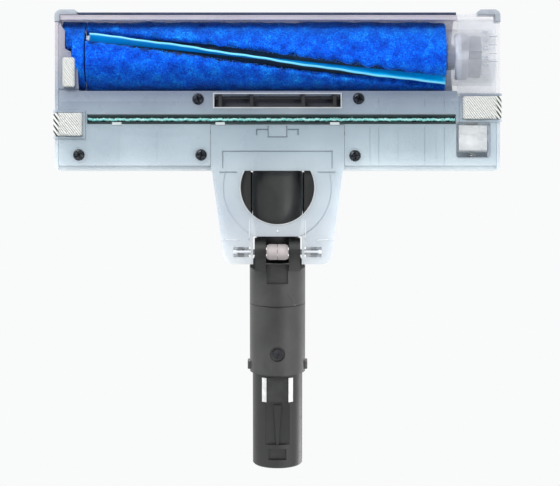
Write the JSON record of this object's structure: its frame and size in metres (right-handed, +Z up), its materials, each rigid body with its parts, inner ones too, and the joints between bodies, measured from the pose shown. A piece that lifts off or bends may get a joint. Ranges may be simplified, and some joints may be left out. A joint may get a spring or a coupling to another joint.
{
  "type": "motorised floor head",
  "caption": "Motorised vacuum floor head: plush roller with helical blades in a translucent casing, folding swivel neck and wand spigot with contacts.",
  "frame": {"origin": "middle of the footprint, on the floor", "axes": "+Z up, +Y to the rear along the neck, +X to the end cap's side"},
  "size_m": [0.282, 0.292, 0.0613],
  "materials": {
    "frosted_shell": "frosted translucent",
    "navy_strip": "satin",
    "pale_bumper": "matt",
    "pad_knit": "knitted",
    "dark_carrier": "matt",
    "turquoise_pile": "tufted",
    "black_steel": "blackened",
    "dark_plastic": "satin",
    "black_rubber": "matt",
    "board": "solder mask",
    "grey_plastic": "moulded",
    "steel": "bright",
    "core_tube": "satin",
    "blue_plush": "plush",
    "blue_blade": "gloss",
    "white_plastic": "satin",
    "wheel_plastic": "satin",
    "contact_metal": "bright"
  },
  "bodies": {
    "head": {"sole_plate": "frosted_shell", "top_cover": "frosted_shell", "neck_cover": "frosted_shell", "front_strip": "navy_strip", "corner_bumper_left": "pale_bumper", "glide_pad_left": "pad_knit", "glide_pad_right": "pad_knit", "glide_pad_small": "pad_knit", "pile_carrier": "dark_carrier", "pile_strip": "turquoise_pile", "sole_screws": "black_steel", "suction_duct": "dark_plastic", "duct_seal": "black_rubber", "flex_duct": "dark_plastic", "duct_flanks": "dark_plastic", "corner_seal": "blue_plush", "circuit_board": "board", "motor_lead": "black_rubber", "motor_mount": "grey_plastic", "motor_can": "steel", "motor": "steel", "ring_gear": "grey_plastic", "gearbox_cap": "grey_plastic", "gearbox_bearing": "steel", "roller_left_bearing": "steel", "pitch_pin_left": "steel", "pitch_pin_right": "steel", "latch_spring": "steel"},
    "end_cap": {"end_cap": "frosted_shell", "end_cap_bearing": "steel", "corner_bumper_right": "pale_bumper"},
    "latch": {"roller_latch": "white_plastic"},
    "roller": {"roller_core": "core_tube", "drive_socket": "grey_plastic", "roller_left_hub": "grey_plastic", "roller_end_ring": "blue_plush", "roller_right_hub": "grey_plastic", "roller_plush": "blue_plush", "blade_base_1": "dark_carrier", "blade_base_2": "dark_carrier", "blade_1": "blue_blade", "blade_2": "blue_blade", "blade_end_clips": "white_plastic", "planet_carrier": "grey_plastic"},
    "motor_rotor": {"motor_shaft": "steel", "sun_gear": "grey_plastic"},
    "planet_1": {"planet_gear_1": "grey_plastic"},
    "planet_2": {"planet_gear_2": "grey_plastic"},
    "planet_3": {"planet_gear_3": "grey_plastic"},
    "neck": {"neck_fork": "dark_plastic", "swivel_seal": "black_rubber", "wheel_axle": "steel"},
    "wheel": {"wheel_left": "wheel_plastic", "wheel_right": "wheel_plastic"},
    "wand_tube": {"neck_tube": "dark_plastic", "neck_screw": "black_steel", "connector_spigot": "dark_plastic", "contact_holder": "dark_plastic", "contact_left": "contact_metal", "contact_right": "contact_metal"}
  },
  "joints": [
    {"name": "neck_pitch", "type": "hinge", "parent": "head", "child": "neck", "pos_m": [0, 0.0068, 0.012], "axis": [1, 0, 0], "range_deg": [0, 75], "deforming": ["flex_duct"]},
    {"name": "neck_swivel", "type": "hinge", "parent": "neck", "child": "wand_tube", "pos_m": [0, 0.06606, 0.03339], "axis": [0, 0.9877, 0.1564], "range_deg": [-40, 40]},
    {"name": "wheel_spin", "type": "hinge", "parent": "neck", "child": "wheel", "pos_m": [0, 0.0068, 0.005], "axis": [1, 0, 0], "continuous": true},
    {"name": "roller_spin", "type": "hinge", "parent": "head", "child": "roller", "pos_m": [0, -0.1173, 0.023], "axis": [1, 0, 0], "continuous": true},
    {"name": "motor_spin", "type": "hinge", "parent": "head", "child": "motor_rotor", "pos_m": [0, -0.1173, 0.023], "axis": [1, 0, 0], "continuous": true},
    {"name": "end_cap_slide", "type": "slide", "parent": "head", "child": "end_cap", "axis": [1, 0, 0], "range_m": [0, 0.03]},
    {"name": "roller_latch_slide", "type": "slide", "parent": "head", "child": "latch", "axis": [0, 1, 0], "range_m": [0, 0.0035], "stiffness_N_per_m": 300, "deforming": ["latch_spring"]},
    {"name": "planet_spin_1", "type": "hinge", "parent": "roller", "child": "planet_1", "pos_m": [-0.047, -0.1113, 0.023], "axis": [1, 0, 0], "continuous": true},
    {"name": "planet_spin_2", "type": "hinge", "parent": "roller", "child": "planet_2", "pos_m": [-0.047, -0.1203, 0.0282], "axis": [1, 0, 0], "continuous": true},
    {"name": "planet_spin_3", "type": "hinge", "parent": "roller", "child": "planet_3", "pos_m": [-0.047, -0.1203, 0.0178], "axis": [1, 0, 0], "continuous": true}
  ],
  "couplings": [
    {"joint": "motor_spin", "follows": "roller_spin", "ratio": 5},
    {"joint": "planet_spin_1", "follows": "roller_spin", "ratio": -2.6667},
    {"joint": "planet_spin_2", "follows": "roller_spin", "ratio": -2.6667},
    {"joint": "planet_spin_3", "follows": "roller_spin", "ratio": -2.6667}
  ]
}
